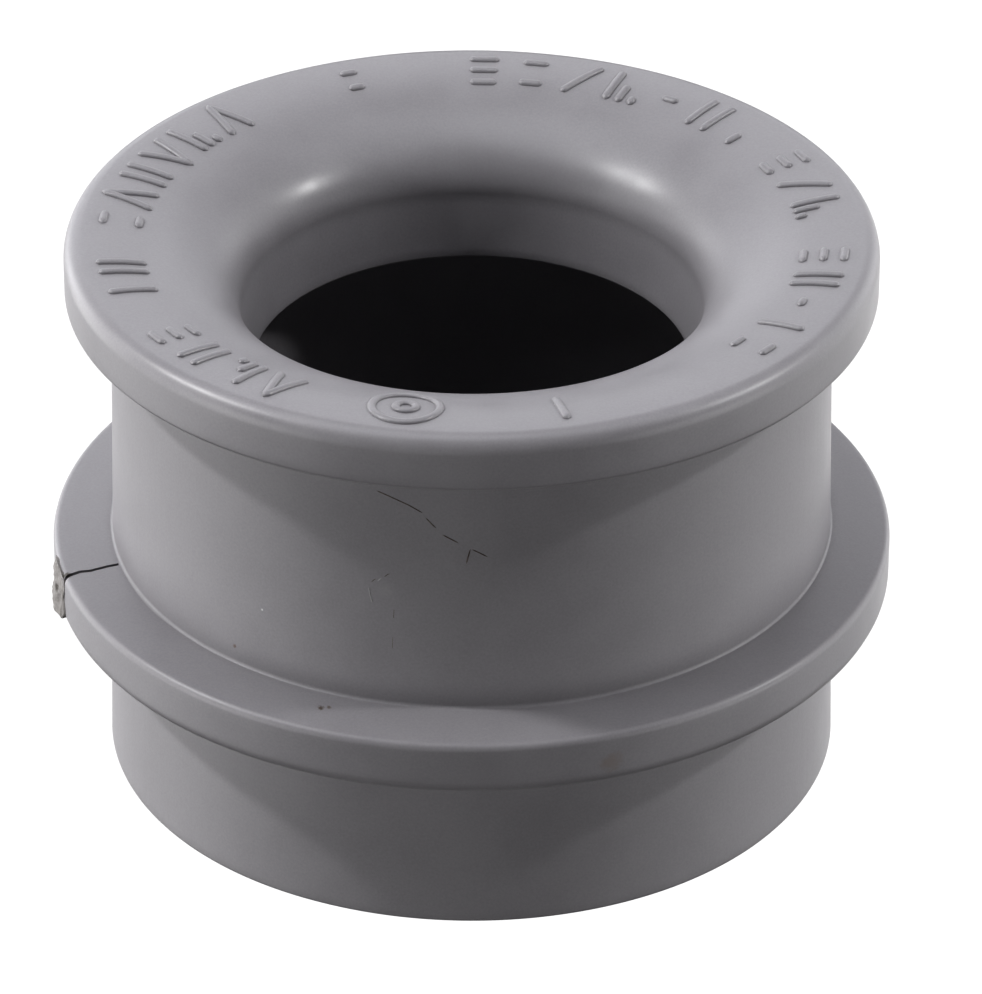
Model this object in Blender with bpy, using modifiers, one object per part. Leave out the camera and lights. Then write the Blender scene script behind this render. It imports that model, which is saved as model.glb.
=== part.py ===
"""Conduit end bell: a bell mouth ring and a split stop collar on a waisted socket sleeve.

Metres, +Z up along the bore. The origin is the centre of the sleeve's lower face, which is
the face that the fitting stands on.
"""

from math import ceil, cos, dist, radians, sin

import bmesh
import bpy
from mathutils import Matrix, Vector

# Overall sizes.
HEIGHT = 0.02635  # lower face of the sleeve to the top of the mouth
CONDUIT_RADIUS = 0.01334  # the pipe that enters the socket, 26.7 mm across
FIT_GAP = 0.0003  # left between pieces that touch on the real fitting

# Bell mouth ring: rim, flared mouth, throat and skirt.
RIM_RADIUS = 0.0186
RIM_THICKNESS = 0.00265
RIM_TOP_ROUNDING = 0.00095
RIM_LOWER_ROUNDING = 0.00025
MOUTH_RADIUS = 0.0175  # where the flare starts, close to the rim
THROAT_RADIUS = 0.01005  # at its lower edge
THROAT_TOP_RADIUS = 0.01060  # where the flare ends, so the core pulls out upwards
FLARE_DEPTH = 0.0039  # mouth to the top of the throat
PIPE_STOP_DEPTH = 0.0069  # mouth to the ledge that the pipe's end meets
SKIRT_RADIUS = 0.0130
STOP_CHAMFER = 0.0003

# Socket sleeve: body, collar groove, spigot and pipe socket.
BODY_TOP_RADIUS = 0.01650
BODY_FOOT_RADIUS = 0.01672
FOOT_FILLET = 0.0005  # small cove that spreads over the collar's top face
SPIGOT_TOP_RADIUS = 0.01685
SPIGOT_FOOT_RADIUS = 0.01705
GROOVE_DEPTH = 0.0009
SOCKET_MOUTH_RADIUS = CONDUIT_RADIUS + 0.00022
SOCKET_INNER_RADIUS = CONDUIT_RADIUS - 0.00004
SOCKET_CHAMFER = 0.0005
SPIGOT_EDGE = 0.0002

# Stop collar: a flat ring, split on one side, that sits in the sleeve's groove.
COLLAR_RADIUS = 0.0195
COLLAR_TOP = HEIGHT - 0.01488
COLLAR_THICKNESS = 0.0030
COLLAR_TOP_ROUNDING = 0.0005
COLLAR_LOWER_ROUNDING = 0.0007
SEAT_RADIUS = 0.0172  # inner edge of the collar's flat lower face, just clear of the spigot
TONGUE_STEP = 0.0003  # the tongue in the groove is thinner than the collar by this, at its foot
SPLIT_WIDTH = 0.0004
SPLIT_ANGLE = radians(-164.5)  # counted from +X, seen from above

# Fineness of the solids.
TURN_STEPS = 72
FILLET_STEP = radians(30)
FLARE_STEPS = 8
SMOOTH_ANGLE = radians(35)
SAME_POINT = 1e-6


def clear_scene():
    """Removes every object the file starts with."""
    for item in list(bpy.data.objects):
        bpy.data.objects.remove(item, do_unlink=True)


def new_collection(name):
    group = bpy.data.collections.new(name)
    bpy.context.scene.collection.children.link(group)
    return group


def new_plastic(name, colour, roughness):
    """A moulded plastic: one Principled shader with no metal in it."""
    material = bpy.data.materials.new(name)
    material.use_nodes = True
    shader = material.node_tree.nodes["Principled BSDF"]
    shader.inputs["Base Color"].default_value = (*colour, 1.0)
    shader.inputs["Roughness"].default_value = roughness
    shader.inputs["Metallic"].default_value = 0.0
    return material


def fillet_points(centre, radius, start, end):
    """Points along a round edge, with angles from +X towards +Z."""
    count = max(2, ceil(abs(end - start) / FILLET_STEP))
    angles = [start + (end - start) * step / count for step in range(count + 1)]
    return [(centre[0] + radius * cos(a), centre[1] + radius * sin(a)) for a in angles]


def distinct_points(profile):
    """The outline without points that repeat the one before them."""
    pairs = zip(profile, profile[-1:] + profile[:-1])
    return [point for point, last in pairs if dist(point, last) > SAME_POINT]


def turned_piece(name, profile, group, material):
    """Turns a closed outline about Z: the outline runs down its outer side and up its inner side."""
    corners = distinct_points(profile)
    outline = bpy.data.meshes.new(name + "_outline")
    links = [(i, (i + 1) % len(corners)) for i in range(len(corners))]
    outline.from_pydata([(x, 0.0, z) for x, z in corners], links, [])
    piece = bpy.data.objects.new(name, outline)
    group.objects.link(piece)
    turn = piece.modifiers.new("turn", "SCREW")
    turn.axis = "Z"
    turn.angle = radians(360)
    turn.steps = TURN_STEPS
    turn.render_steps = TURN_STEPS
    turn.use_merge_vertices = True
    turn.merge_threshold = SAME_POINT
    graph = bpy.context.evaluated_depsgraph_get()
    solid = bpy.data.meshes.new_from_object(piece.evaluated_get(graph))
    solid.name = name
    piece.modifiers.remove(turn)
    piece.data = solid
    bpy.data.meshes.remove(outline)
    solid.materials.append(material)
    solid.shade_smooth()
    solid.set_sharp_from_angle(angle=SMOOTH_ANGLE)
    return piece


def cut(piece, cutter, name):
    """Takes the cutter's volume out of the piece."""
    modifier = piece.modifiers.new(name, "BOOLEAN")
    modifier.operation = "DIFFERENCE"
    modifier.object = cutter


def box_cutter(name, size, centre, turn, group):
    """A box of the given size, centred and turned about Z, kept out of renders."""
    mesh = bpy.data.meshes.new(name)
    shape = bmesh.new()
    bmesh.ops.create_cube(shape, size=1.0)
    bmesh.ops.scale(shape, vec=Vector(size), verts=shape.verts)
    shape.to_mesh(mesh)
    shape.free()
    cutter = bpy.data.objects.new(name, mesh)
    cutter.matrix_world = Matrix.Rotation(turn, 4, "Z") @ Matrix.Translation(Vector(centre))
    cutter.hide_render = True
    cutter.display_type = "WIRE"
    group.objects.link(cutter)
    return cutter


def bell_mouth_ring(group, material):
    """Rim, flare, throat and the skirt that nests in the sleeve and stops the pipe."""
    rim_under = HEIGHT - RIM_THICKNESS
    stop = HEIGHT - PIPE_STOP_DEPTH
    top_centre = (RIM_RADIUS - RIM_TOP_ROUNDING, HEIGHT - RIM_TOP_ROUNDING)
    low_centre = (RIM_RADIUS - RIM_LOWER_ROUNDING, rim_under + RIM_LOWER_ROUNDING)
    profile = fillet_points(top_centre, RIM_TOP_ROUNDING, radians(90), radians(0))
    profile += fillet_points(low_centre, RIM_LOWER_ROUNDING, radians(0), radians(-90))
    profile += [
        (SKIRT_RADIUS, rim_under),
        (SKIRT_RADIUS, stop + STOP_CHAMFER),
        (SKIRT_RADIUS - STOP_CHAMFER, stop),
        (THROAT_RADIUS, stop),
    ]
    profile += flare_points()
    return turned_piece("bell_mouth_ring", profile, group, material)


def flare_points():
    """The mouth's curve: a quarter of an ellipse, from the top of the throat out to the mouth."""
    width = MOUTH_RADIUS - THROAT_TOP_RADIUS
    angles = [radians(90) * (2 - step / FLARE_STEPS) for step in range(FLARE_STEPS + 1)]
    centre_z = HEIGHT - FLARE_DEPTH
    return [(MOUTH_RADIUS + width * cos(a), centre_z + FLARE_DEPTH * sin(a)) for a in angles]


def socket_sleeve(group, material):
    """The waisted body with its cove and collar groove, the spigot, and the socket for the pipe."""
    top = HEIGHT - RIM_THICKNESS - FIT_GAP
    groove_top = COLLAR_TOP + FIT_GAP
    groove_foot = COLLAR_TOP - COLLAR_THICKNESS + TONGUE_STEP - FIT_GAP
    groove_radius = BODY_FOOT_RADIUS - GROOVE_DEPTH
    cove_centre = (BODY_FOOT_RADIUS + FOOT_FILLET, groove_top + FOOT_FILLET)
    profile = [(BODY_TOP_RADIUS, top)]
    profile += fillet_points(cove_centre, FOOT_FILLET, radians(180), radians(270))
    profile += [
        (groove_radius, groove_top),
        (groove_radius, groove_foot),
        (SPIGOT_TOP_RADIUS, groove_foot),
        (SPIGOT_FOOT_RADIUS, SPIGOT_EDGE),
        (SPIGOT_FOOT_RADIUS - SPIGOT_EDGE, 0.0),
        (SOCKET_MOUTH_RADIUS + SOCKET_CHAMFER, 0.0),
        (SOCKET_MOUTH_RADIUS, SOCKET_CHAMFER),
        (SOCKET_INNER_RADIUS, HEIGHT - PIPE_STOP_DEPTH),
        (SOCKET_INNER_RADIUS, top),
    ]
    return turned_piece("socket_sleeve", profile, group, material)


def stop_collar(group, cutters, material):
    """The split ring round the sleeve: soft outer edges, and a thinner tongue in the groove."""
    foot = COLLAR_TOP - COLLAR_THICKNESS
    inner = BODY_FOOT_RADIUS - GROOVE_DEPTH + FIT_GAP
    top_centre = (COLLAR_RADIUS - COLLAR_TOP_ROUNDING, COLLAR_TOP - COLLAR_TOP_ROUNDING)
    low_centre = (COLLAR_RADIUS - COLLAR_LOWER_ROUNDING, foot + COLLAR_LOWER_ROUNDING)
    profile = fillet_points(top_centre, COLLAR_TOP_ROUNDING, radians(90), radians(0))
    profile += fillet_points(low_centre, COLLAR_LOWER_ROUNDING, radians(0), radians(-90))
    profile += [(SEAT_RADIUS, foot), (SEAT_RADIUS, foot + TONGUE_STEP)]
    profile += [(inner, foot + TONGUE_STEP), (inner, COLLAR_TOP)]
    collar = turned_piece("stop_collar", profile, group, material)
    reach = COLLAR_RADIUS - inner
    size = (2 * reach, SPLIT_WIDTH, 2 * COLLAR_THICKNESS)
    centre = (inner + reach / 2, 0.0, COLLAR_TOP - COLLAR_THICKNESS / 2)
    cut(collar, box_cutter("collar_split_cutter", size, centre, SPLIT_ANGLE, cutters), "split")
    return collar


def main():
    clear_scene()
    fitting = new_collection("conduit_end_bell")
    cutters = new_collection("cutters")
    mouth_grey = new_plastic("mouth_grey_upvc", (0.30, 0.30, 0.31), 0.42)
    sleeve_grey = new_plastic("sleeve_grey_upvc", (0.28, 0.28, 0.285), 0.48)
    collar_grey = new_plastic("collar_grey_upvc", (0.29, 0.29, 0.295), 0.45)
    bell_mouth_ring(fitting, mouth_grey)
    socket_sleeve(fitting, sleeve_grey)
    stop_collar(fitting, cutters, collar_grey)


main()
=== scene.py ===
"""Looks of a grey conduit end bell: a bell mouth ring, a socket sleeve and a split stop collar.

Lengths are in metres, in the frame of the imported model: +Z runs up the bore and the origin is
the centre of the sleeve's lower face. Azimuths are in degrees from +X, seen from above.
"""

import logging
from dataclasses import dataclass, field
from enum import Enum
from math import cos, hypot, radians, sin, tau
from typing import Any, Callable, Iterator

import bmesh
import bpy
from mathutils import Matrix, Vector, noise


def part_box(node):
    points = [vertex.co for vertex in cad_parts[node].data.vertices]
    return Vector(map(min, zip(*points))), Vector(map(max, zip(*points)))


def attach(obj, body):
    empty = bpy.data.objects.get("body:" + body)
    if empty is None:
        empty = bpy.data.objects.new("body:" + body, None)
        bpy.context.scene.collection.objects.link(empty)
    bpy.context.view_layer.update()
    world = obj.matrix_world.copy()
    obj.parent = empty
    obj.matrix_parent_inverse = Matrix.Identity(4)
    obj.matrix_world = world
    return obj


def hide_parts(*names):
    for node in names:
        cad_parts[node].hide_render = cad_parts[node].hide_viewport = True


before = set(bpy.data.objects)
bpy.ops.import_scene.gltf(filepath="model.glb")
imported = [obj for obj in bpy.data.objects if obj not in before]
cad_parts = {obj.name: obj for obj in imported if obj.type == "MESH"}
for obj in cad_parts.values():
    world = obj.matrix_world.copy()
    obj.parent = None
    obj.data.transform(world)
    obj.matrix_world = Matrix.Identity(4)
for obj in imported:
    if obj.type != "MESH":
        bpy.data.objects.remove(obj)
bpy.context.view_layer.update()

LOG = logging.getLogger("end_bell")
MM = 0.001
BODY = "root"
SAME_POINT = 1e-3 * MM
COLLAR_SINK = 0.10 * MM  # the collar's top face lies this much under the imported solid's
RIM_THICKNESS = 2.65 * MM  # height of the rim's side, over the sleeve's upper end
TURN_STEPS = 480  # columns round a turned piece
SPLIT_BEND = 10.0  # columns on each side of a split that bend to open it

Point = tuple[float, float]
Path = list[Vector]


class Node(Enum):
    """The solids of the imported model."""

    MOUTH = "bell_mouth_ring"
    SLEEVE = "socket_sleeve"
    COLLAR = "stop_collar"


class Slot(Enum):
    """The record's material slots."""

    MOUTH = "mouth_grey_upvc"
    SLEEVE = "sleeve_grey_upvc"
    COLLAR = "collar_grey_upvc"


def linear(code: str) -> tuple[float, float, float, float]:
    """Turns an sRGB hex code into a linear colour.

    Args:
        code: Six hex digits after a hash.

    Returns:
        Red, green and blue in linear light, and an alpha of one.
    """
    shares = [int(code[i : i + 2], 16) / 255 for i in (1, 3, 5)]
    bent = [s / 12.92 if s <= 0.04045 else ((s + 0.055) / 1.055) ** 2.4 for s in shares]
    return (bent[0], bent[1], bent[2], 1.0)


def add_node(
    tree: bpy.types.NodeTree,
    kind: str,
    settings: dict[Any, Any] | None = None,
    links: dict[Any, Any] | None = None,
) -> bpy.types.Node:
    """Adds one node with its settings and links.

    Args:
        tree: The tree that the node joins.
        kind: Blender's type name for the node.
        settings: Lower-case property names, and input names or numbers, with their values.
        links: Input names or numbers, with the output socket or the term that feeds each.

    Returns:
        The new node.
    """
    node = tree.nodes.new(kind)
    for key, value in (settings or {}).items():
        if isinstance(key, str) and key[0].islower():
            setattr(node, key, value)
        else:
            node.inputs[key].default_value = value
    for key, source in (links or {}).items():
        tree.links.new(source.socket if isinstance(source, Term) else source, node.inputs[key])
    return node


def placed(name: str, data: Any) -> bpy.types.Object:
    """Puts a new object in the scene, at the origin."""
    made = bpy.data.objects.new(name, data)
    bpy.context.scene.collection.objects.link(made)
    return made


def on_circle(radius: float, azimuth: float, height: float) -> Vector:
    """The point at a radius, an azimuth in degrees and a height."""
    angle = radians(azimuth)
    return Vector((radius * cos(angle), radius * sin(angle), height))


class NodeWork:
    """A node tree in the making."""

    def __init__(self, tree: bpy.types.NodeTree) -> None:
        """Takes the tree that it adds to."""
        self.tree = tree

    def add(self, kind: str, settings: Any = None, links: Any = None) -> Any:
        """Adds a node and returns its outputs."""
        return add_node(self.tree, kind, settings, links).outputs


class Paint(NodeWork):
    """A node material in the making, which reads its patterns at the object coordinates."""

    def __init__(self, name: str) -> None:
        """Starts the material under a name."""
        self.made = bpy.data.materials.new(name)
        self.made.use_nodes = True
        super().__init__(self.made.node_tree)
        self.tree.nodes.clear()
        self.place = self.add("ShaderNodeTexCoord")["Object"]

    def patches(self, width: float, detail: float, place: Any = None) -> Any:
        """Adds noise with patches of a real width.

        Args:
            width: Width of one patch.
            detail: Octaves of finer noise.
            place: Socket with other coordinates than the object's.

        Returns:
            The socket with the noise, from 0 to 1.
        """
        settings = {"Scale": 1 / width, "Detail": detail, "Roughness": 0.55}
        return self.add("ShaderNodeTexNoise", settings, {"Vector": place or self.place})["Fac"]

    def ranged(self, value: Any, low: float, high: float, settings: Any = None) -> Any:
        """Stretches a range of a value to 0 to 1, or to the bounds in the settings.

        Args:
            value: Socket with the value.
            low: The value that becomes the lower bound.
            high: The value that becomes the upper bound.
            settings: Further settings of the node.

        Returns:
            The socket with the result.
        """
        settings = {"From Min": low, "From Max": high} | (settings or {})
        return self.add("ShaderNodeMapRange", settings, {"Value": value})["Result"]

    def mixed(self, share: Any, first: Any, second: Any) -> Any:
        """Mixes two colours.

        Args:
            share: Socket with the second colour's share.
            first: A colour, or the socket with one.
            second: A colour, or the socket with one.

        Returns:
            The socket with the mixed colour.
        """
        mix = add_node(self.tree, "ShaderNodeMix", {"data_type": "RGBA"}, {"Factor": share})
        for name, colour in (("A", first), ("B", second)):
            target = next(s for s in mix.inputs if s.name == name and s.type == "RGBA")
            if isinstance(colour, tuple):
                target.default_value = colour
            else:
                self.tree.links.new(colour, target)
        return next(s for s in mix.outputs if s.type == "RGBA")

    def end(self, settings: dict[str, Any], links: Any = None) -> bpy.types.Material:
        """Ends the material with its one shader.

        Args:
            settings: The shader's input names with their values.
            links: The shader's input names with the sockets that feed them.

        Returns:
            The material.
        """
        shader = self.add("ShaderNodeBsdfPrincipled", settings, links)
        self.add("ShaderNodeOutputMaterial", None, {"Surface": shader["BSDF"]})
        return self.made


@dataclass(frozen=True)
class StainAndShadeSpot:
    """A small discoloured spot on a surface. Most are stains; some are dark spots of painted shade
    in small pits.

    Attributes:
        centre: Where its middle is.
        size: Radius at which it has faded out.
        shade: sRGB hex of the spot.
        strength: How much of the plastic's colour it hides, from 0 to 1.
    """

    centre: Vector
    size: float
    shade: str
    strength: float

    def over(self, paint: Paint, shade: Any) -> Any:
        """Lays the spot, with a ragged edge, over a colour.

        Args:
            paint: The material.
            shade: Socket with the colour so far.

        Returns:
            The socket with the new colour.
        """
        gap = {"operation": "DISTANCE", 1: self.centre}
        away = paint.add("ShaderNodeVectorMath", gap, {0: paint.place})["Value"]
        fray = {"operation": "MULTIPLY_ADD", 1: self.size * 1.2}
        ragged = paint.patches(self.size * 0.6, 3.0)
        reach = paint.add("ShaderNodeMath", fray, {0: ragged, 2: away})[0]
        soft = {"interpolation_type": "SMOOTHSTEP", "To Max": self.strength}
        cover = paint.ranged(reach, self.size * 1.45, self.size * 0.75, soft)
        return paint.mixed(cover, shade, linear(self.shade))


@dataclass(frozen=True)
class MouldedUpvc:
    """Injection-moulded rigid PVC: a satin grey skin, faintly mottled, with an orange-peel surface.

    The pigment is even, so the eye mostly gets soft, slightly broken highlights from a skin
    that copies the polished mould but for tiny waves.

    Attributes:
        name: The material's name.
        pale: sRGB hex of the lighter mottling.
        deep: sRGB hex of the darker mottling.
        roughness: Middle roughness of the skin.
        mottle: Width of one mottled patch.
        grain: Width of one speck of the finest mottling.
        peel: Width of one wave of the orange peel.
        peel_height: Height of one wave of the orange peel.
        swell: Width of one long shallow wave.
        swell_height: Height of one long shallow wave.
        drag: Height of the ejection streaks along Z.
        streak: Width of one ejection streak.
        stains_and_shade_spots: Spots of dirt on this piece, and dark spots of painted shade in its
            small pits.
    """

    name: str
    pale: str = "#939194"
    deep: str = "#8c8a8d"
    roughness: float = 0.38
    mottle: float = 2.6 * MM
    grain: float = 0.11 * MM
    peel: float = 0.42 * MM
    peel_height: float = 0.0035 * MM
    swell: float = 3.2 * MM
    swell_height: float = 0.010 * MM
    drag: float = 0.0
    streak: float = 0.5 * MM
    stains_and_shade_spots: tuple[StainAndShadeSpot, ...] = ()

    def material(self) -> bpy.types.Material:
        """Builds the node material.

        Returns:
            The new material.
        """
        paint = Paint(self.name)
        mottling = paint.patches(self.mottle, 2.0)
        grains = paint.patches(self.grain, 2.0)
        blend = paint.add("ShaderNodeMix", {0: 0.6}, {2: mottling, 3: grains})[0]
        spread = paint.ranged(blend, 0.35, 0.65)
        shade = paint.mixed(spread, linear(self.deep), linear(self.pale))
        # Stains, and dark spots of painted shade in pits, are laid over the mottled colour.
        for marked_spot in self.stains_and_shade_spots:
            shade = marked_spot.over(paint, shade)
        bounds = {"To Min": self.roughness - 0.04, "To Max": self.roughness + 0.05}
        rough = paint.ranged(mottling, 0.3, 0.7, bounds)
        links = {"Base Color": shade, "Roughness": rough, "Normal": self.skin(paint)}
        return paint.end({"Metallic": 0.0, "IOR": 1.53}, links)

    def skin(self, paint: Paint) -> Any:
        """Orange peel over long shallow waves, with ejection streaks where the piece has them.

        Args:
            paint: The material.

        Returns:
            The socket with the bumped normal.
        """
        layers = [
            (paint.patches(self.swell, 1.0), self.swell_height),
            (paint.patches(self.peel, 2.0), self.peel_height),
        ]
        if self.drag:
            pull = {"operation": "MULTIPLY", 1: (1.0, 1.0, 0.06)}
            along = paint.add("ShaderNodeVectorMath", pull, {0: paint.place})[0]
            layers.append((paint.patches(self.streak, 3.0, along), self.drag))
        links: dict[str, Any] = {}
        for height, depth in layers:
            links["Height"] = height
            links["Normal"] = paint.add("ShaderNodeBump", {"Distance": depth}, links)[0]
        return links["Normal"]


@dataclass(frozen=True)
class PackedDirt:
    """Dark grit packed into a scratch: matt, almost black brown, and never quite even.

    Attributes:
        name: The material's name.
        dark: sRGB hex of the deepest grit.
        dusty: sRGB hex of the drier grit.
        clump: Width of one clump of grit.
    """

    name: str
    dark: str = "#544943"
    dusty: str = "#7b726c"
    clump: float = 0.5 * MM

    def material(self) -> bpy.types.Material:
        """Builds the node material.

        Returns:
            The new material.
        """
        paint = Paint(self.name)
        share = paint.ranged(paint.patches(self.clump, 3.0), 0.4, 0.65)
        shade = paint.mixed(share, linear(self.dark), linear(self.dusty))
        return paint.end({"Roughness": 0.85, "IOR": 1.5}, {"Base Color": shade})


@dataclass
class Outline:
    """A closed outline of radius and height, walked down the outside and up the inside.

    Attributes:
        points: The corners so far.
        run_step: Longest stretch without a point, which keeps flats and curves evenly shaded.
    """

    points: list[Point] = field(default_factory=list)
    run_step: float = 0.4 * MM

    def run(self, radius: float, height: float) -> "Outline":
        """Goes straight to a point.

        Args:
            radius: Where it ends, out from the axis.
            height: Where it ends, up the axis.

        Returns:
            The outline itself.
        """
        target = (radius, height)
        if self.points:
            start = self.points[-1]
            length = hypot(target[0] - start[0], target[1] - start[1])
            count = max(1, round(length / self.run_step))
            for step in range(1, count):
                share = step / count
                self.points.append(tuple(a + (b - a) * share for a, b in zip(start, target)))
        self.points.append(target)
        return self

    def curve(
        self, centre: Point, sizes: Point, start: float, end: float, steps: int = 8
    ) -> "Outline":
        """Follows a stretch of an ellipse.

        Args:
            centre: Its middle, as radius and height.
            sizes: Its half width and half height.
            start: First angle in degrees, from outwards towards up.
            end: Last angle in degrees.
            steps: Number of chords.

        Returns:
            The outline itself.
        """
        angles = [radians(start + (end - start) * step / steps) for step in range(steps + 1)]
        arc = [(centre[0] + sizes[0] * cos(a), centre[1] + sizes[1] * sin(a)) for a in angles]
        self.run(*arc[0])
        self.points += arc[1:]
        return self

    def mesh(self, name: str) -> bpy.types.Mesh:
        """Makes the outline a loop of edges in the XZ plane.

        Args:
            name: Name of the mesh.

        Returns:
            The new mesh.
        """
        kept = [p for p, q in zip(self.points, self.points[-1:] + self.points) if apart(p, q)]
        made = bpy.data.meshes.new(name)
        links = [(i, (i + 1) % len(kept)) for i in range(len(kept))]
        made.from_pydata([(r, 0.0, z) for r, z in kept], links, [])
        return made


def apart(point: Point, other: Point) -> bool:
    """Whether two outline points are far enough apart to keep both."""
    return hypot(point[0] - other[0], point[1] - other[1]) > SAME_POINT


@dataclass(frozen=True)
class Term:
    """A number in a shape tree, which plain arithmetic joins up with Math nodes.

    Attributes:
        tree: The tree that it is in.
        socket: The socket that carries it.
    """

    tree: bpy.types.NodeTree
    socket: Any

    def join(self, operation: str, *values: Any) -> "Term":
        """Adds a Math node.

        Args:
            operation: Blender's name for what it does.
            values: The numbers and terms that it works on, in order.

        Returns:
            Its result.
        """
        node = add_node(self.tree, "ShaderNodeMath", {"operation": operation})
        for slot, value in enumerate(values):
            if isinstance(value, Term):
                self.tree.links.new(value.socket, node.inputs[slot])
            else:
                node.inputs[slot].default_value = value
        return Term(self.tree, node.outputs[0])

    def to(self, operation: str, *others: Any) -> "Term":
        """Applies an operation to this term and others."""
        return self.join(operation, self, *others)

    def __add__(self, other: Any) -> "Term":
        """The sum of two."""
        return self.to("ADD", other)

    def __sub__(self, other: Any) -> "Term":
        """The difference of two."""
        return self.to("SUBTRACT", other)

    def __rsub__(self, other: float) -> "Term":
        """What is left of a plain number."""
        return self.join("SUBTRACT", other, self)

    def __mul__(self, other: Any) -> "Term":
        """The product of two."""
        return self.to("MULTIPLY", other)

    def __truediv__(self, other: Any) -> "Term":
        """The quotient of two."""
        return self.to("DIVIDE", other)


class ShapeTree(NodeWork):
    """A geometry node tree that is built in the script and run once on a piece."""

    SOCKETS = {int: "NodeSocketInt", float: "NodeSocketFloat", type(None): "NodeSocketMaterial"}

    def __init__(self, name: str, inputs: dict[str, Any]) -> None:
        """Starts the tree with its named inputs.

        Args:
            name: Name of the tree.
            inputs: Each input's name and default, which is None for a material.
        """
        super().__init__(bpy.data.node_groups.new(name, "GeometryNodeTree"))
        face = self.tree.interface
        for way in ("OUTPUT", "INPUT"):
            face.new_socket("Geometry", in_out=way, socket_type="NodeSocketGeometry")
        for label, value in inputs.items():
            socket = face.new_socket(label, in_out="INPUT", socket_type=self.SOCKETS[type(value)])
            if value is not None:
                socket.default_value = value
        self.entry = self.add("NodeGroupInput")
        self.position = self.add("GeometryNodeInputPosition")[0]

    def term(self, kind: str, output: int | str, settings: Any = None, links: Any = None) -> Term:
        """Adds a node and returns one of its outputs as a term."""
        return Term(self.tree, self.add(kind, settings, links)[output])

    def inputs(self, *names: str) -> list[Term]:
        """Some of the tree's own inputs as terms."""
        return [Term(self.tree, self.entry[name]) for name in names]

    def parts(self, vector: Any) -> list[Term]:
        """The X, Y and Z of a vector."""
        split = self.add("ShaderNodeSeparateXYZ", None, {0: vector})
        return [Term(self.tree, split[axis]) for axis in "XYZ"]

    def close(self, geometry: Any) -> None:
        """Ends the tree: realised, dressed in its material and shaded smooth.

        Args:
            geometry: Socket with the finished shape.
        """
        real = self.add("GeometryNodeRealizeInstances", None, {0: geometry})[0]
        smooth = self.add("GeometryNodeSetShadeSmooth", None, {0: real})[0]
        skin = {"Geometry": smooth, "Material": self.entry["Material"]}
        dressed = self.add("GeometryNodeSetMaterial", None, skin)[0]
        self.add("NodeGroupOutput", None, {0: dressed})

    def run(self, name: str, source: bpy.types.Mesh, values: dict[str, Any]) -> bpy.types.Object:
        """Runs the tree on a mesh and keeps the plain result, with its faces turned outwards.

        Args:
            name: Name of the piece.
            source: The mesh that the tree starts from.
            values: Input names with their values.

        Returns:
            The piece, at the origin and without modifiers.
        """
        piece = placed(name, source)
        modifier = piece.modifiers.new(self.tree.name, "NODES")
        modifier.node_group = self.tree
        for item in self.tree.interface.items_tree:
            if item.in_out == "INPUT" and item.name in values:
                modifier[item.identifier] = values[item.name]
        graph = bpy.context.evaluated_depsgraph_get()
        result = bpy.data.meshes.new_from_object(piece.evaluated_get(graph))
        piece.modifiers.remove(modifier)
        piece.data = result
        result.name = name
        bpy.data.meshes.remove(source)
        outward(piece)
        return piece


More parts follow.
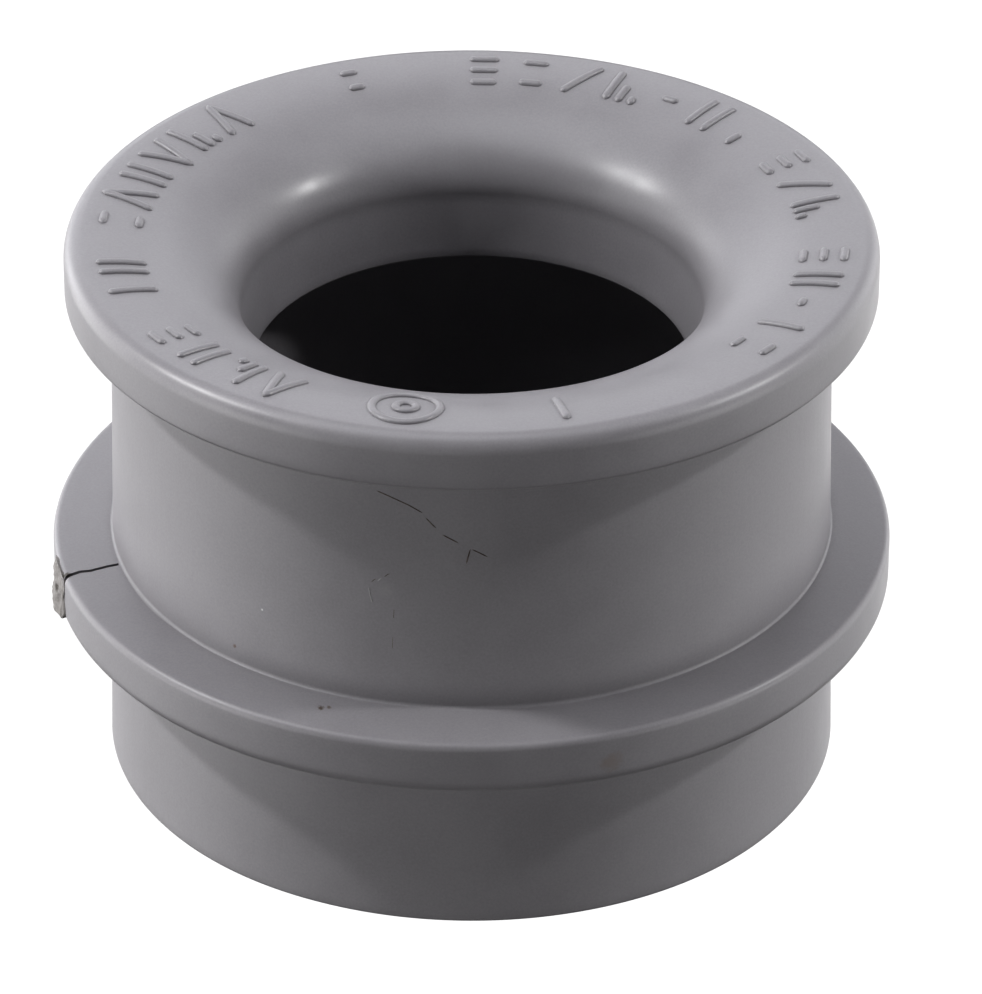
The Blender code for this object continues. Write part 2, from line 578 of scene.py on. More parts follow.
def lathe_tree() -> ShapeTree:
    """Turns an outline about Z, all the way round or with a ragged split across the ring.

    Returns:
        The tree. The split widens outwards from Split Inner to Split Outer.
    """
    sizes = {"Inner Radius": 0.0, "Outer Radius": 1.0, "Waviness": 0.0, "Wave Length": 0.01}
    gap = {"Split Azimuth": 0.0, "Split Inner": 0.0, "Split Outer": 0.0, "Wander": 0.0}
    rest = {"Steps": TURN_STEPS, "Split": 0, "Seed": 0.0, "Material": None}
    shape = ShapeTree("lathe", sizes | gap | rest)
    outline = shape.entry["Geometry"]
    steps, split, azimuth = shape.inputs("Steps", "Split", "Split Azimuth")
    narrow, wide, wander = shape.inputs("Split Inner", "Split Outer", "Wander")
    inner, outer, seed = shape.inputs("Inner Radius", "Outer Radius", "Seed")
    waviness, wave_length = shape.inputs("Waviness", "Wave Length")
    rows = shape.term("GeometryNodeAttributeDomainSize", "Point Count", None, {0: outline})
    columns = steps + (split * 2.0 + 1.0)
    grid = shape.add(
        "GeometryNodeMeshGrid",
        {"Size X": 1.0, "Size Y": 1.0},
        {"Vertices X": columns, "Vertices Y": rows + 1.0},
    )["Mesh"]
    across, up, _ = shape.parts(shape.position)
    column = ((across + 0.5) * (columns - 1.0)).to("ROUND")
    row = ((up + 0.5) * rows).to("ROUND")
    corner = shape.add(
        "GeometryNodeSampleIndex",
        {"data_type": "FLOAT_VECTOR"},
        {"Geometry": outline, "Value": shape.position, "Index": row.to("MODULO", rows)},
    )["Value"]
    middle = shape.add(
        "GeometryNodeAttributeStatistic",
        {"data_type": "FLOAT_VECTOR"},
        {"Geometry": outline, "Attribute": shape.position},
    )
    mean = next(s for s in middle if s.name == "Mean" and s.type == "VECTOR")
    # On a split ring the first and last columns shrink to one point each, which closes both ends.
    step = column - split
    outside = step.to("LESS_THAN", -0.5) + step.to("GREATER_THAN", steps + 0.5)
    ends = {0: outside, 4: corner, 5: mean}
    profile = shape.add("ShaderNodeMix", {"data_type": "VECTOR"}, ends)[1]
    radius, _, height = shape.parts(profile)
    held = step.to("MAXIMUM", 0.0).to("MINIMUM", steps)
    turn = held / steps * tau
    reach = (radius - inner) / (outer - inner)
    widening = reach.to("MAXIMUM", 0.0).to("POWER", 3.0) * (wide - narrow)
    half_gap = (narrow + widening) * 0.5
    # The gap is opened by bending the last few columns on each side of it.
    from_start = (1.0 - held / SPLIT_BEND).to("MAXIMUM", 0.0)
    from_end = (1.0 - (steps - held) / SPLIT_BEND).to("MAXIMUM", 0.0)
    grit = {"noise_dimensions": "4D", "Scale": 620.0, "Detail": 2.0}
    ragged = shape.term("ShaderNodeTexNoise", 0, grit, {"Vector": profile, "W": seed})
    pull = (from_start - from_end) * half_gap
    shove = (from_start + from_end) * ((ragged - 0.5) * wander)
    angle = turn + (pull + shove) / radius * split + azimuth
    place = shape.add(
        "ShaderNodeCombineXYZ",
        None,
        {"X": radius * angle.to("COSINE"), "Y": radius * angle.to("SINE"), "Z": height},
    )[0]
    turned = shape.add("GeometryNodeSetPosition", None, {"Geometry": grid, "Position": place})[0]
    join = {"Distance": SAME_POINT / 10}
    sealed = shape.add("GeometryNodeMergeByDistance", join, {0: turned})[0]
    swell = shape.term(
        "ShaderNodeTexNoise",
        0,
        {"noise_dimensions": "4D", "Detail": 1.0},
        {"Vector": shape.position, "W": seed, "Scale": wave_length.to("POWER", -1.0)},
    )
    lift = shape.add(
        "ShaderNodeVectorMath",
        {"operation": "SCALE"},
        {0: shape.add("GeometryNodeInputNormal")[0], "Scale": (swell - 0.5) * waviness},
    )[0]
    shape.close(shape.add("GeometryNodeSetPosition", None, {"Geometry": sealed, "Offset": lift})[0])
    return shape


def stroke_tree() -> ShapeTree:
    """Makes every polyline of a mesh a rounded, flattened ridge with tapered ends.

    Drape lays the ridges, drawn at height 0, over the flared mouth face.

    Returns:
        The tree.
    """
    line = {"Width": 0.0004, "Height": 0.0001, "Spacing": 0.0001, "Sides": 12, "Material": None}
    face = {"Mouth Radius": 0.0175, "Throat Radius": 0.01, "Flare Depth": 0.004, "Top": 0.0}
    shape = ShapeTree("raised_strokes", line | face | {"Drape": 0.0})
    width, height, drape = shape.inputs("Width", "Height", "Drape")
    mouth, throat, depth, top = shape.inputs("Mouth Radius", "Throat Radius", "Flare Depth", "Top")
    lines = shape.add("GeometryNodeMeshToCurve", None, {0: shape.entry["Geometry"]})[0]
    pitch = {"Curve": lines, "Length": shape.entry["Spacing"]}
    fine = shape.add("GeometryNodeResampleCurve", {"mode": "LENGTH"}, pitch)[0]
    along = shape.term("GeometryNodeSplineParameter", "Length")
    whole = shape.term("GeometryNodeSplineLength", "Length")
    left = along.to("MINIMUM", whole - along)
    inward = 1.0 - (left / (width * 0.5)).to("MINIMUM", 1.0)
    taper = (1.0 - inward * inward).to("MAXIMUM", 0.02).to("SQRT")
    open_line = 1.0 - shape.term("GeometryNodeInputSplineCyclic", 0)
    thick = open_line * taper + (1.0 - open_line)
    sized = shape.add("GeometryNodeSetCurveRadius", None, {"Curve": fine, "Radius": thick})[0]
    section = {"Resolution": shape.entry["Sides"], "Radius": width * 0.5}
    ring = shape.add("GeometryNodeCurvePrimitiveCircle", None, section)[0]
    tube = shape.add(
        "GeometryNodeCurveToMesh",
        {"Fill Caps": True},
        {"Curve": sized, "Profile Curve": ring, "Scale": shape.add("GeometryNodeInputRadius")[0]},
    )[0]
    x, y, z = shape.parts(shape.position)
    away = (x * x + y * y).to("SQRT")
    inset = ((mouth - away) / (mouth - throat)).to("MAXIMUM", 0.0)
    dip = (1.0 - inset * inset).to("MAXIMUM", 0.0).to("SQRT")
    draped = z * (height * 2.0 / width) + (top - depth * (1.0 - dip))
    level = draped * drape + z * (1.0 - drape)
    place = shape.add("ShaderNodeCombineXYZ", None, {"X": x, "Y": y, "Z": level})[0]
    laid = {"Geometry": tube, "Position": place}
    shape.close(shape.add("GeometryNodeSetPosition", None, laid)[0])
    return shape


def lines_mesh(name: str, paths: list[Path], closed: bool = False) -> bpy.types.Mesh:
    """Makes polylines one mesh of edges.

    Args:
        name: Name of the mesh.
        paths: The points of each line.
        closed: Whether each line runs back to its start.

    Returns:
        The new mesh.
    """
    points: list[Vector] = []
    links: list[tuple[int, int]] = []
    for path in paths:
        start = len(points)
        points += path
        links += [(start + i, start + i + 1) for i in range(len(path) - 1)]
        if closed:
            links.append((start + len(path) - 1, start))
    made = bpy.data.meshes.new(name)
    made.from_pydata([tuple(p) for p in points], links, [])
    return made


class Mark(Enum):
    """Abstract strokes of a mould code, each in a cell from 0 to 1 across and outwards."""

    BAR = (((0.5, 0.0), (0.5, 1.0)),)
    PAIR = (((0.2, 0.0), (0.2, 1.0)), ((0.8, 0.0), (0.8, 1.0)))
    PEAK = (((0.0, 0.0), (0.5, 1.0), (1.0, 0.0)),)
    TROUGH = (((0.0, 1.0), (0.5, 0.0), (1.0, 1.0)),)
    STEPS = (((0.1, 0.0), (0.1, 1.0)), ((0.5, 0.0), (0.5, 0.55)), ((0.9, 0.0), (0.9, 0.25)))
    DASHES = (((0.15, 0.15), (0.85, 0.15)), ((0.15, 0.85), (0.85, 0.85)))
    RUNGS = (((0.1, 0.1), (0.9, 0.1)), ((0.1, 0.5), (0.9, 0.5)), ((0.1, 0.9), (0.9, 0.9)))
    SLANT = (((0.1, 0.0), (0.9, 1.0)),)
    SHORT = (((0.25, 0.5), (0.75, 0.5)),)
    TICK = (((0.5, 0.0), (0.5, 0.4)),)
    GAP = ()


@dataclass(frozen=True)
class MarkRow:
    """A row of marks that follows the rim, read with its feet towards the axis or the rim.

    Attributes:
        marks: The marks, in order.
        start: Azimuth of the first mark's middle, in degrees.
        pitch: Degrees from one mark to the next.
        inner: Radius of the marks' inner ends.
        outer: Radius of their outer ends.
        width: Width of one mark along the rim.
    """

    marks: tuple[Mark, ...]
    start: float
    pitch: float
    inner: float
    outer: float
    width: float

    def paths(self) -> Iterator[Path]:
        """The strokes of all its marks, in the XY plane at height 0.

        Yields:
            The points of one stroke.
        """
        middle = (self.inner + self.outer) / 2
        for place, mark in enumerate(self.marks):
            azimuth = self.start + place * self.pitch
            for stroke in mark.value:
                yield [
                    on_circle(
                        self.inner + (self.outer - self.inner) * up,
                        azimuth + (0.5 - across) * self.width / middle * 360 / tau,
                        0.0,
                    )
                    for across, up in stroke
                ]


def register(piece: bpy.types.Object, node: Node) -> None:
    """Puts a piece on the body, in place of a solid.

    Args:
        piece: The piece.
        node: The solid that it stands for.
    """
    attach(piece, BODY)
    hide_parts(node.value)
    LOG.info("%s: %d faces", piece.name, len(piece.data.polygons))


def outward(piece: bpy.types.Object) -> None:
    """Turns all of a closed piece's faces outwards."""
    shape = bmesh.new()
    shape.from_mesh(piece.data)
    bmesh.ops.recalc_face_normals(shape, faces=shape.faces)
    shape.to_mesh(piece.data)
    shape.free()


@dataclass
class BellMouthRing:
    """Rim, flared mouth, throat and skirt, with a mould code in low relief round the rim.

    Attributes:
        rim_top_rounding: Radius of the rim's upper edge.
        rim_lower_rounding: Radius of the rim's lower edge.
        mouth_inset: From the rim in to where the flare starts.
        throat_radius: Radius of the throat at its lower edge.
        throat_top_radius: Radius of the throat where the flare ends.
        flare_depth: Depth at which the flare has turned upright.
        throat_edge: Rounding of the throat's lower edge.
        skirt_radius: Outer radius of the skirt, in the sleeve.
        relief: How far the marks stand up.
        stroke: Width of the marks' strokes.
    """

    rim_top_rounding: float = 0.82 * MM
    rim_lower_rounding: float = 0.28 * MM
    mouth_inset: float = 1.1 * MM
    throat_radius: float = 10.05 * MM
    throat_top_radius: float = 10.60 * MM
    flare_depth: float = 3.9 * MM
    throat_edge: float = 0.12 * MM
    skirt_radius: float = 13.25 * MM
    relief: float = 0.16 * MM
    stroke: float = 0.40 * MM

    def __post_init__(self) -> None:
        """Reads the rim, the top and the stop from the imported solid."""
        low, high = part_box(Node.MOUTH.value)
        self.rim = high.x
        self.top = high.z
        self.stop = low.z
        self.mouth = self.rim - self.mouth_inset

    def outline(self) -> Outline:
        """The ring's section.

        Returns:
            The outline, from the mouth's edge out over the rim, down the skirt and up the throat.
        """
        under = self.top - RIM_THICKNESS
        edge, foot, lip = self.rim_top_rounding, self.rim_lower_rounding, self.throat_edge
        shape = Outline()
        shape.run(self.mouth, self.top)
        shape.curve((self.rim - edge, self.top - edge), (edge, edge), 90, 0, 12)
        shape.curve((self.rim - foot, under + foot), (foot, foot), 0, -90, 6)
        shape.run(self.skirt_radius, under)
        shape.curve((self.skirt_radius - lip, self.stop + lip), (lip, lip), 0, -90, 4)
        shape.curve((self.throat_radius + lip, self.stop + lip), (lip, lip), -90, -180, 5)
        sizes = (self.mouth - self.throat_top_radius, self.flare_depth)
        return shape.curve((self.mouth, self.top - self.flare_depth), sizes, 180, 90, 40)

    def code_rows(self) -> tuple[MarkRow, ...]:
        """The mould code: three rows of abstract marks and two single ones."""
        inner, outer = self.rim - 3.7 * MM, self.rim - 1.35 * MM
        left = (
            Mark.PEAK, Mark.STEPS, Mark.PAIR, Mark.RUNGS, Mark.GAP, Mark.BAR, Mark.PAIR, Mark.GAP,
            Mark.DASHES, Mark.PEAK, Mark.PAIR, Mark.TROUGH, Mark.STEPS, Mark.PEAK,
        )
        top = (Mark.RUNGS, Mark.DASHES, Mark.SLANT, Mark.STEPS, Mark.SHORT, Mark.PAIR, Mark.TICK)
        right = (
            Mark.RUNGS, Mark.SLANT, Mark.STEPS, Mark.GAP,
            Mark.RUNGS, Mark.PAIR, Mark.SHORT, Mark.BAR, Mark.DASHES,
        )
        return (
            MarkRow(left, -121.5, -7.9, inner, outer, 1.45 * MM),
            MarkRow((Mark.DASHES,), 110.6, 1.0, inner + 0.3 * MM, outer - 0.3 * MM, 1.2 * MM),
            MarkRow(top, 88.0, -8.4, inner, outer, 1.7 * MM),
            MarkRow(right, 25.5, -8.1, inner, outer, 1.45 * MM),
            MarkRow((Mark.BAR,), -76.0, 1.0, inner + 0.1 * MM, outer, 1.4 * MM),
        )

    def dial(self) -> list[Path]:
        """The witness of an ejector pin: two raised rings, one inside the other.

        Returns:
            The closed rings.
        """
        centre = on_circle(self.rim - 2.8 * MM, -100.5, 0.0)
        return [
            [centre + on_circle(radius, 360 * i / 48, 0.0) for i in range(48)]
            for radius in (1.5 * MM, 0.45 * MM)
        ]

    def build(self, finish: bpy.types.Material) -> None:
        """Builds the ring and its marks.

        Args:
            finish: The plastic.
        """
        outline = self.outline().mesh("bell_mouth_outline")
        values = {"Waviness": 0.03 * MM, "Wave Length": 9 * MM, "Seed": 3.0, "Material": finish}
        register(lathe_tree().run("bell_mouth", outline, values), Node.MOUTH)
        line = {"Width": self.stroke, "Height": self.relief, "Spacing": 0.09 * MM, "Sides": 14}
        face = {"Mouth Radius": self.mouth, "Throat Radius": self.throat_top_radius}
        face |= {"Flare Depth": self.flare_depth, "Top": self.top, "Drape": 1.0}
        values = line | face | {"Material": finish}
        code = [path for row in self.code_rows() for path in row.paths()]
        for name, paths, closed in (
            ("mould_code_marks", code, False),
            ("ejector_pin_witness", self.dial(), True),
        ):
            marks = stroke_tree().run(name, lines_mesh(name + "_lines", paths, closed), values)
            register(marks, Node.MOUTH)


# The strokes of each scratch on the wall: azimuth in degrees and height in millimetres.
CHORDS = 8  # between two of these corners
# The fine broken scratch that wanders down the front, and its hooked end.
HAIRLINE = (
    ((-104.6, 22.25), (-102.9, 22.08), (-99.6, 21.70), (-97.5, 21.36)),
    ((-97.0, 21.12), (-96.2, 20.85), (-95.4, 20.62)),
    ((-94.4, 20.30), (-92.9, 20.05), (-92.0, 19.90)),
    ((-90.8, 18.86), (-90.5, 19.25), (-90.2, 19.60)),
    ((-89.9, 19.58), (-88.9, 19.42), (-87.6, 19.20)),
)
# The shallow knock at the front, and the fine upright line below it, both broken.
NICK = (
    ((-105.6, 17.50), (-105.0, 17.70), (-104.6, 17.76)),
    ((-103.5, 17.86), (-103.0, 18.04), (-102.5, 18.10)),
    ((-102.2, 17.96), (-101.9, 17.76)),
    ((-101.9, 16.37), (-102.0, 15.75)),
    ((-102.1, 14.95), (-102.2, 14.15)),
)
# The plastic pushed up pale beside the knock.
SCUFFS = (
    ((-105.9, 17.30), (-105.7, 16.90), (-105.3, 16.45)),
    ((-104.6, 17.62), (-103.8, 17.84)),
    ((-101.7, 17.62), (-101.4, 17.40)),
)


@dataclass
class SocketSleeve:
    """The waisted body, the groove that holds the collar, the spigot and the pipe socket.

    Attributes:
        seam: Hairline that shows where two pieces meet.
        top_radius: Body radius under the rim.
        foot_radius: Body radius above the collar.
        groove_depth: Depth of the collar's groove.
        spigot_top: Spigot radius under the collar.
        spigot_foot: Spigot radius at its lower edge.
        cove: Rounding between the body and the collar's top face.
        foot_edge: Rounding of the spigot's lower edge.
        mouth_bore: Socket radius at its mouth.
        inner_bore: Socket radius at the pipe stop.
        bore_edge: Rounding of the socket's mouth.
    """

    seam: float = 0.02 * MM
    top_radius: float = 16.50 * MM
    foot_radius: float = 16.72 * MM
    groove_depth: float = 0.9 * MM
    spigot_top: float = 16.85 * MM
    spigot_foot: float = 17.05 * MM
    cove: float = 0.18 * MM
    foot_edge: float = 0.2 * MM
    mouth_bore: float = 13.56 * MM
    inner_bore: float = 13.30 * MM
    bore_edge: float = 0.45 * MM

    def __post_init__(self) -> None:
        """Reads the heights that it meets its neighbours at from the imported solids."""
        self.stop, rim_top = (corner.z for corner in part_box(Node.MOUTH.value))
        self.top = rim_top - RIM_THICKNESS - self.seam
        low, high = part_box(Node.COLLAR.value)
        self.collar_low, self.collar_high = low.z, high.z - COLLAR_SINK
        self.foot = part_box(Node.SLEEVE.value)[0].z

    def outline(self) -> Outline:
        """The sleeve's section.

        Returns:
            The outline, from the top of the body down to the spigot and up the socket.
        """
        groove = self.foot_radius - self.groove_depth
        shelf, ledge = self.collar_high - self.seam / 2, self.collar_low
        cove, foot, mouth = self.cove, self.foot_edge, self.bore_edge
        shape = Outline()
        shape.run(self.top_radius, self.top)
        shape.curve((self.foot_radius + cove, shelf + cove), (cove, cove), 180, 270, 8)
        for radius, height in ((groove, shelf), (groove, ledge), (self.spigot_top, ledge)):
            shape.run(radius, height)
        shape.curve((self.spigot_foot - foot, self.foot + foot), (foot, foot), 0, -90, 6)
        shape.curve((self.mouth_bore + mouth, self.foot + mouth), (mouth, mouth), -90, -180, 6)
        shape.run(self.inner_bore, self.stop)
        shape.run(self.inner_bore, self.top)
        return shape

    def wall(self, azimuth: float, height: float, lift: float = 0.0) -> Vector:
        """A point on the body's outer wall.

        Args:
            azimuth: Degrees from +X.
            height: Height above the origin.
            lift: How far outside the wall.

        Returns:
            The point.
        """
        share = (self.top - height) / (self.top - self.collar_high)
        radius = self.top_radius + (self.foot_radius - self.top_radius) * share
        return on_circle(radius + lift, azimuth, height)

    def scratch(self, corners: tuple[Point, ...], lift: float) -> Path:
        """A scratch that runs over the wall through a few corners.

        Args:
            corners: Azimuth and height in millimetres of each corner.
            lift: How far its middle is outside the wall.

        Returns:
            Its points, close enough together to follow the wall.
        """
        path: Path = []
        for (a, low), (b, high) in zip(corners, corners[1:]):
            for i in range(CHORDS):
                share = i / CHORDS
                height = (low + (high - low) * share) * MM
                path.append(self.wall(a + (b - a) * share, height, lift))
        path.append(self.wall(corners[-1][0], corners[-1][1] * MM, lift))
        return path

    def build(
        self, finish: bpy.types.Material, dirt: bpy.types.Material, scuffed: bpy.types.Material
    ) -> None:
        """Builds the sleeve, its scratch, its nick and the scuffs beside it.

        Args:
            finish: The plastic.
            dirt: What fills the scratch.
            scuffed: The plastic where it is pushed up pale.
        """
        outline = self.outline().mesh("sleeve_outline")
        values = {"Waviness": 0.05 * MM, "Wave Length": 11 * MM, "Seed": 8.0, "Material": finish}
        register(lathe_tree().run("sleeve_body", outline, values), Node.SLEEVE)
        for name, corners, width, lift, skin in (
            ("wall_scratch", HAIRLINE, 0.045 * MM, 0.0, dirt),
            ("wall_nick", NICK, 0.034 * MM, -0.006 * MM, dirt),
            ("wall_scuffs", SCUFFS, 0.07 * MM, -0.01 * MM, scuffed),
        ):
            lines = lines_mesh(name + "_lines", [self.scratch(run, lift) for run in corners])
            values = {"Width": width, "Height": width / 2, "Spacing": 0.12 * MM, "Sides": 8}
            strokes = stroke_tree().run(name, lines, values | {"Material": skin})
            register(strokes, Node.SLEEVE)


@dataclass
class StopCollar:
    """The split ring round the sleeve, with the snapped-off gate stub on its edge.

    Attributes:
        top_rounding: Radius of the upper outer edge.
        fall: How far the top face falls towards the edge.
        fall_radius: Where the top face starts to fall.
        lower_rounding: Radius of the lower outer edge.
        inner_radius: Radius of its bore, in the sleeve's groove.
        seat_radius: Inner edge of its flat lower face.
        tongue_step: How much thinner it is in the groove, at its foot.
        split_azimuth: Where it is split.
        split_inner: Width of the split at the sleeve.
        split_outer: Width of the split at the edge.
        wander: How far the split strays to each side.
        stub_azimuth: Middle of the gate stub.
        stub_size: Half length along the edge, half height, and reach outwards from its middle.
        stub_seed: Seed of its ragged outline, so that it comes out the same each time.
        stub_stray: How far its outline strays along the edge and in height.
        stub_lean: How much less its upper part reaches out than its foot.
        break_depth: How rough the torn face is.
        break_fall: How much less the torn face reaches out at its two ends.
    """

    top_rounding: float = 0.34 * MM
    fall: float = 0.22 * MM
    fall_radius: float = 16.95 * MM
    lower_rounding: float = 0.7 * MM
    inner_radius: float = 15.85 * MM
    seat_radius: float = 16.88 * MM
    tongue_step: float = 0.02 * MM
    split_azimuth: float = -164.5
    split_inner: float = 0.17 * MM
    split_outer: float = 0.24 * MM
    wander: float = 0.9 * MM
    stub_azimuth: float = -168.4
    stub_size: tuple[float, float, float] = (1.4 * MM, 1.22 * MM, 0.34 * MM)
    stub_seed: int = 4
    stub_stray: Point = (0.22 * MM, 0.16 * MM)
    stub_lean: float = 0.24 * MM
    break_depth: float = 0.09 * MM
    break_fall: float = 0.16 * MM

    def __post_init__(self) -> None:
        """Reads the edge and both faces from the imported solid."""
        low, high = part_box(Node.COLLAR.value)
        self.foot, self.top = low.z, high.z - COLLAR_SINK
        self.edge = high.x

    def outline(self) -> Outline:
        """The collar's section.

        Returns:
            The outline, from the bore out over the top face, round the edge and back by the seat.
        """
        up, down = self.top_rounding, self.lower_rounding
        shape = Outline(run_step=0.25 * MM)
        shape.run(self.inner_radius, self.top).run(self.fall_radius, self.top)
        shape.curve((self.edge - up, self.top - self.fall - up), (up, up), 86, 0, 8)
        shape.curve((self.edge - down, self.foot + down), (down, down), 0, -90, 9)
        tongue = self.foot + self.tongue_step
        shape.run(self.seat_radius, self.foot).run(self.seat_radius, tongue)
        return shape.run(self.inner_radius, tongue).run(self.inner_radius, self.top)

    def spot(self, out: float, azimuth: float, up: float) -> Vector:
        """A point at millimetres outside the collar's edge and over its top face."""
        return on_circle(self.edge + out * MM, azimuth, self.top + up * MM)

    def stub(self, finish: bpy.types.Material) -> bpy.types.Object:
        """The torn stub of the gate: a low lump with a rough break.

        Args:
            finish: The plastic, dirty at the break, with a dark spot of painted shade by the split.

        Returns:
            The new piece.
        """
        mesh = bpy.data.meshes.new("gate_stub")
        shape = bmesh.new()
        bmesh.ops.create_cube(shape, size=2.0)
        bmesh.ops.subdivide_edges(shape, edges=shape.edges, cuts=27, use_grid_fill=True)
        middle = (self.top + self.foot) / 2 - 0.1 * MM
        turn = Matrix.Rotation(radians(self.stub_azimuth), 4, "Z")
        along, tall, out = self.stub_size
        noise.seed_set(self.stub_seed)
        for corner in shape.verts:
            # A cube with soft edges, bent round the collar. Only its outer part is torn.
            x, y, z = corner.co * sum(abs(axis) ** 5 for axis in corner.co) ** -0.2
            place = Vector((self.edge + x * out, y * along, middle + z * tall))
            place.x -= place.y**2 / (2 * self.edge)
            torn = max(0.0, x)
            rough = noise.fractal(place / (0.55 * MM), 0.6, 2.2, 4)
            stray = noise.noise_vector(place / (0.9 * MM))
            place.y += stray.y * self.stub_stray[0]
            place.z += stray.z * self.stub_stray[1]
            place.x += torn * (rough * self.break_depth - self.break_fall * abs(y))
            place.x -= torn * self.stub_lean * (z + 1) / 2
            place.z += torn * 0.07 * MM * noise.noise(place / (0.4 * MM) + Vector((7, 1, 3)))
            corner.co = turn @ place
        shape.to_mesh(mesh)
        shape.free()
        mesh.materials.append(finish)
        mesh.shade_smooth()
        return placed("gate_stub", mesh)

    def build(self, finish: bpy.types.Material, torn: bpy.types.Material) -> None:
        """Builds the collar and its gate stub.

        Args:
            finish: The plastic.
            torn: The plastic at the break.
        """
        gap = {"Split": 1, "Split Azimuth": radians(self.split_azimuth), "Wander": self.wander}
        gap |= {"Split Inner": self.split_inner, "Split Outer": self.split_outer}
        sizes = {"Inner Radius": self.inner_radius, "Outer Radius": self.edge}
        waves = {"Waviness": 0.04 * MM, "Wave Length": 8 * MM, "Seed": 5.0}
        values = gap | sizes | waves | {"Material": finish}
        collar = lathe_tree().run("split_collar", self.outline().mesh("collar_outline"), values)
        collar.data.set_sharp_from_angle(angle=radians(40))
        register(collar, Node.COLLAR)
        stub = self.stub(torn)
        outward(stub)
        register(stub, Node.COLLAR)


@dataclass(frozen=True)
class Lamp:
    """A round soft lamp that faces the fitting.

    Attributes:
        name: Name of the lamp.
        azimuth: Degrees from the camera's side of the fitting, positive towards +X.
        elevation: Degrees above the table, which lets light from below it through.
        size: Width of the lamp.
        power: In watts.
        shade: sRGB hex of its light.
        distance: From the fitting.
    """

    name: str
    azimuth: float
    elevation: float
    size: float
    power: float
    shade: str = "#ffffff"
    distance: float = 0.5

    def build(self) -> None:
        """Adds the lamp to the scene, unseen by the camera."""
        data = bpy.data.lights.new(self.name, "AREA")
        data.shape = "DISK"
        data.size = self.size
        data.energy = self.power
        data.color = linear(self.shade)[:3]
        lamp = placed(self.name, data)
        lamp.visible_camera = False
        turn, rise = radians(self.azimuth), radians(self.elevation)
        way = Vector((sin(turn) * cos(rise), -cos(turn) * cos(rise), sin(rise)))
        place = Matrix.Translation(Vector((0.0, 0.0, 14 * MM)) + way * self.distance)
        lamp.matrix_world = place @ way.to_track_quat("Z", "Y").to_matrix().to_4x4()


LAMPS = (
    Lamp("left_lamp", -93, 45, 0.036, 0.82),
    Lamp("right_lamp", 88, 38, 0.036, 0.53),
    Lamp("left_panel", -100, 0, 0.80, 1.82),
    Lamp("right_panel", 105, 2, 0.80, 1.49),
    Lamp("left_low", -60, -5, 0.40, 0.63),
    Lamp("right_low", 60, -5, 0.40, 0.54),
    Lamp("front_low", -10, -14, 0.28, 0.17),
    Lamp("overhead_left", -90, 70, 0.44, 0.76, "#fafbff"),
    Lamp("overhead_right", 90, 70, 0.44, 0.44, "#fafbff"),
    Lamp("rear_high", 180, 34, 0.32, 0.25, "#fafbff"),
    Lamp("right_edge", 128, 0, 0.36, 0.08),
    Lamp("left_edge", -128, 0, 0.36, 0.3),
    Lamp("right_sheen", 155, -28, 0.34, 0.26),
    Lamp("left_sheen", -155, -28, 0.34, 0.19),
    Lamp("rear_left", -150, 12, 0.42, 0.5, "#fafbff"),
    Lamp("rear_right", 150, 12, 0.42, 0.33, "#fafbff"),
)


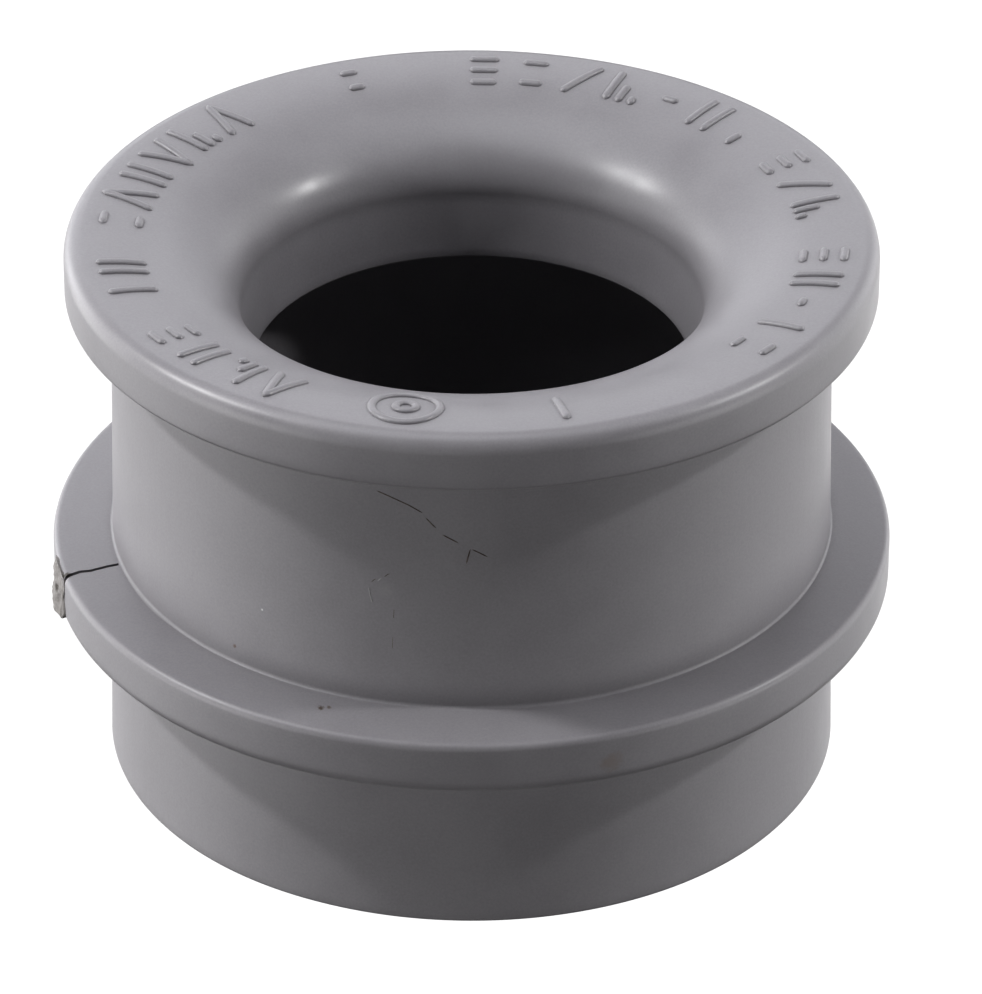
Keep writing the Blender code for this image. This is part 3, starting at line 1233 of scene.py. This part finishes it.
@dataclass
class Studio:
    """A pale table that shines by itself, soft lamps round the fitting, and the camera.

    Attributes:
        lens: Focal length for a 36 mm sensor along the picture's long side.
        eye: Where the camera stands.
        aim: What it looks at.
        roll: Turn of the camera about its line of sight, in degrees.
        floor_size: Half the floor's width.
        shade_radius: Radius of the dark patch that the fitting stands on, painted as the table in
            the fitting's shade.
        glow: How brightly the table shines.
    """

    lens: float = 248.2
    eye: Vector = field(default_factory=lambda: Vector((0.0, -273.4, 177.45)) * MM)
    aim: Vector = field(default_factory=lambda: Vector((0.9, 0.0, 12.27)) * MM)
    roll: float = 0.14
    floor_size: float = 6.0
    shade_radius: float = 16.8 * MM
    glow: float = 0.75

    def camera(self) -> None:
        """Creates the camera and makes it the scene's."""
        data = bpy.data.cameras.new("camera")
        data.lens = self.lens
        data.sensor_width = 36.0
        data.clip_start, data.clip_end = 0.01, 10.0
        camera = placed("camera", data)
        look = (self.aim - self.eye).to_track_quat("-Z", "Y").to_matrix().to_4x4()
        spin = Matrix.Rotation(radians(self.roll), 4, "Z")
        camera.matrix_world = Matrix.Translation(self.eye) @ look @ spin
        bpy.context.scene.camera = camera

    def flat(
        self,
        name: str,
        depth: float,
        paint: bpy.types.Material,
        make: Callable[..., Any],
        sizes: dict[str, Any],
    ) -> bpy.types.Object:
        """Makes a flat piece of the table.

        Args:
            name: Name of the piece.
            depth: How far it lies under the origin.
            paint: Its material.
            make: What adds its shape to a bmesh.
            sizes: The shape's own arguments.

        Returns:
            The new piece.
        """
        mesh = bpy.data.meshes.new(name)
        shape = bmesh.new()
        make(shape, **sizes)
        bmesh.ops.translate(shape, verts=shape.verts, vec=(0.0, 0.0, -depth))
        shape.to_mesh(mesh)
        shape.free()
        mesh.materials.append(paint)
        return placed(name, mesh)

    def table(self) -> None:
        """Lays the pale floor, seen by the camera only, and the dark disc of painted shade under
        the fitting.
        """
        glow = {"Emission Color": linear("#ffffff"), "Emission Strength": self.glow}
        matt = {"Base Color": linear("#202020"), "Roughness": 0.9, "Specular IOR Level": 0.0}
        pale = Paint("pale lit table").end(matt | glow)
        grid = {"x_segments": 1, "y_segments": 1, "size": self.floor_size}
        floor = self.flat("floor", 0.02 * MM, pale, bmesh.ops.create_grid, grid)
        floor.visible_diffuse = floor.visible_glossy = floor.visible_shadow = False
        # The disc stops the light of the lamps below the floor, as the real table would, and its
        # dark colour is painted shade: the table under the fitting drawn as if in shadow.
        matt = {"Base Color": linear("#262626"), "Roughness": 0.9}
        dark = Paint("table painted dark as the fitting's shade").end(matt)
        disc = {"cap_ends": True, "segments": 96, "radius": self.shade_radius}
        shade = self.flat("table_shade", 0.01 * MM, dark, bmesh.ops.create_circle, disc)

    def build(self) -> None:
        """Builds the camera, the table, the lamps and the pale surroundings."""
        self.camera()
        self.table()
        for lamp in LAMPS:
            lamp.build()
        world = bpy.data.worlds.new("surroundings")
        world.use_nodes = True
        world.node_tree.nodes["Background"].inputs["Color"].default_value = linear("#fbfbfb")
        world.cycles_visibility.diffuse = False
        world.cycles_visibility.glossy = False
        bpy.context.scene.world = world
        bpy.context.scene.view_settings.view_transform = "Standard"
        bpy.context.scene.view_settings.look = "High Contrast"


def main() -> None:
    """Builds the fitting's looks, piece by piece, and the studio around it."""
    logging.basicConfig(level=logging.INFO, format="%(name)s %(message)s")
    sleeve = SocketSleeve()
    collar = StopCollar()
    mouth_plastic = MouldedUpvc("injection-moulded grey uPVC, mouth", roughness=0.36).material()
    sleeve_plastic = MouldedUpvc(
        "injection-moulded grey uPVC, sleeve",
        roughness=0.44,
        drag=0.006 * MM,
        stains_and_shade_spots=(
            StainAndShadeSpot(sleeve.wall(-103.4, 17.2 * MM), 0.7 * MM, "#a3a1a2", 0.16),
            StainAndShadeSpot(sleeve.wall(-129.7, 12.2 * MM), 0.16 * MM, "#6a5248", 0.75),
            StainAndShadeSpot(sleeve.wall(-124.2, 14.7 * MM), 0.08 * MM, "#dcdcdc", 0.8),
        ),
    ).material()
    collar_plastic = MouldedUpvc(
        "injection-moulded grey uPVC, collar",
        roughness=0.42,
        stains_and_shade_spots=(
            StainAndShadeSpot(collar.spot(-1.60, -112.1, -0.07), 0.24 * MM, "#4d3d30", 0.85),
            StainAndShadeSpot(collar.spot(-1.78, -111.0, -0.06), 0.18 * MM, "#5a4a3d", 0.7),
            StainAndShadeSpot(collar.spot(0.0, -71.5, -1.67), 0.75 * MM, "#857a72", 0.5),
            # Dark spot where the split meets the top edge: painted shade of the small pit there.
            StainAndShadeSpot(collar.spot(-0.2, -164.8, -0.27), 0.36 * MM, "#38322a", 0.9),
        ),
    ).material()
    torn_plastic = MouldedUpvc(
        "torn grey uPVC with grime and painted shade",
        pale="#8f8c8b",
        deep="#7d7976",
        roughness=0.6,
        mottle=0.5 * MM,
        peel=0.15 * MM,
        peel_height=0.006 * MM,
        stains_and_shade_spots=(
            # Dark spot by the split's outer end: painted shade of the small pit there. The next
            # spot is grime on the break.
            StainAndShadeSpot(collar.spot(0.0, -165.2, -0.47), 0.40 * MM, "#38322a", 0.9),
            StainAndShadeSpot(collar.spot(0.15, -167.2, -1.37), 0.34 * MM, "#38322a", 0.85),
        ),
    ).material()
    dirt = PackedDirt("grit packed in a scratch").material()
    BellMouthRing().build(mouth_plastic)
    scuffed = MouldedUpvc(
        "scuffed grey uPVC", pale="#a3a2a2", deep="#98979a", roughness=0.6
    ).material()
    sleeve.build(sleeve_plastic, dirt, scuffed)
    collar.build(collar_plastic, torn_plastic)
    Studio().build()


if __name__ == "__main__":
    main()
